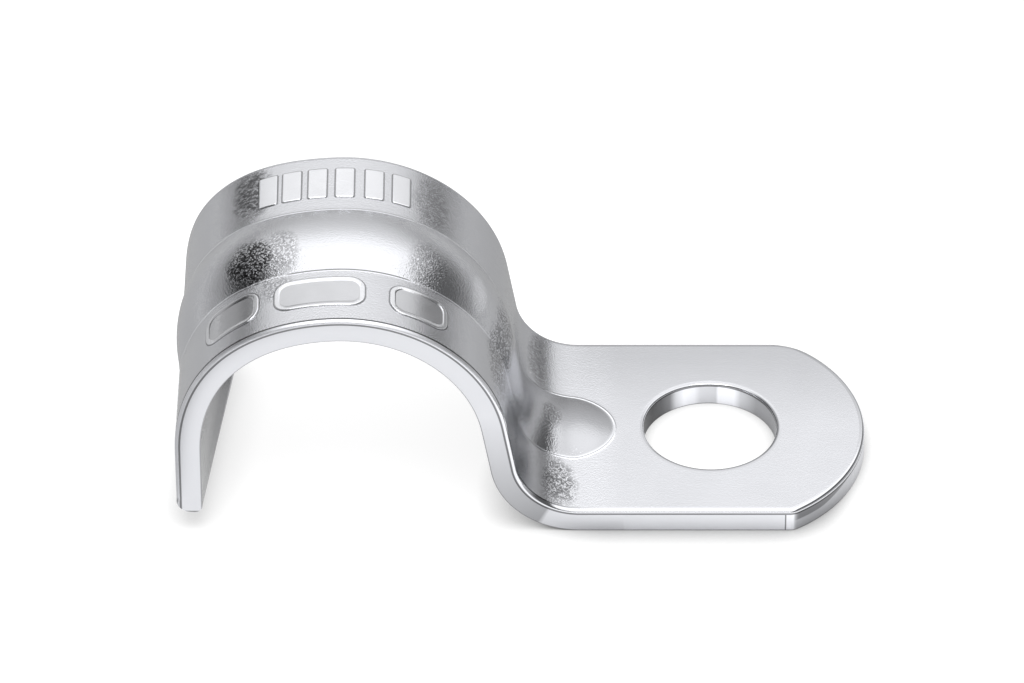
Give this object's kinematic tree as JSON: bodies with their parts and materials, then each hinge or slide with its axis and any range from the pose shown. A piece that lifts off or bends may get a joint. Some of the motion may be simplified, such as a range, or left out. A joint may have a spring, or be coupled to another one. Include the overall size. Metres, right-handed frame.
{
  "type": "one-hole conduit strap",
  "caption": "Formed sheet-steel strap: a ribbed saddle clips over a round conduit and a flat, round-ended tab takes the screw that fixes it to a wall.",
  "frame": {"origin": "centre of the fixing hole on the mounting face", "axes": "+Z out of the wall along the screw, +Y along the conduit, saddle at -X"},
  "size_m": [0.0443, 0.017, 0.0177],
  "materials": {
    "zinc_plate": "bright zinc plated, pressed"
  },
  "bodies": {
    "root": {"conduit_strap": "zinc_plate"}
  },
  "joints": []
}
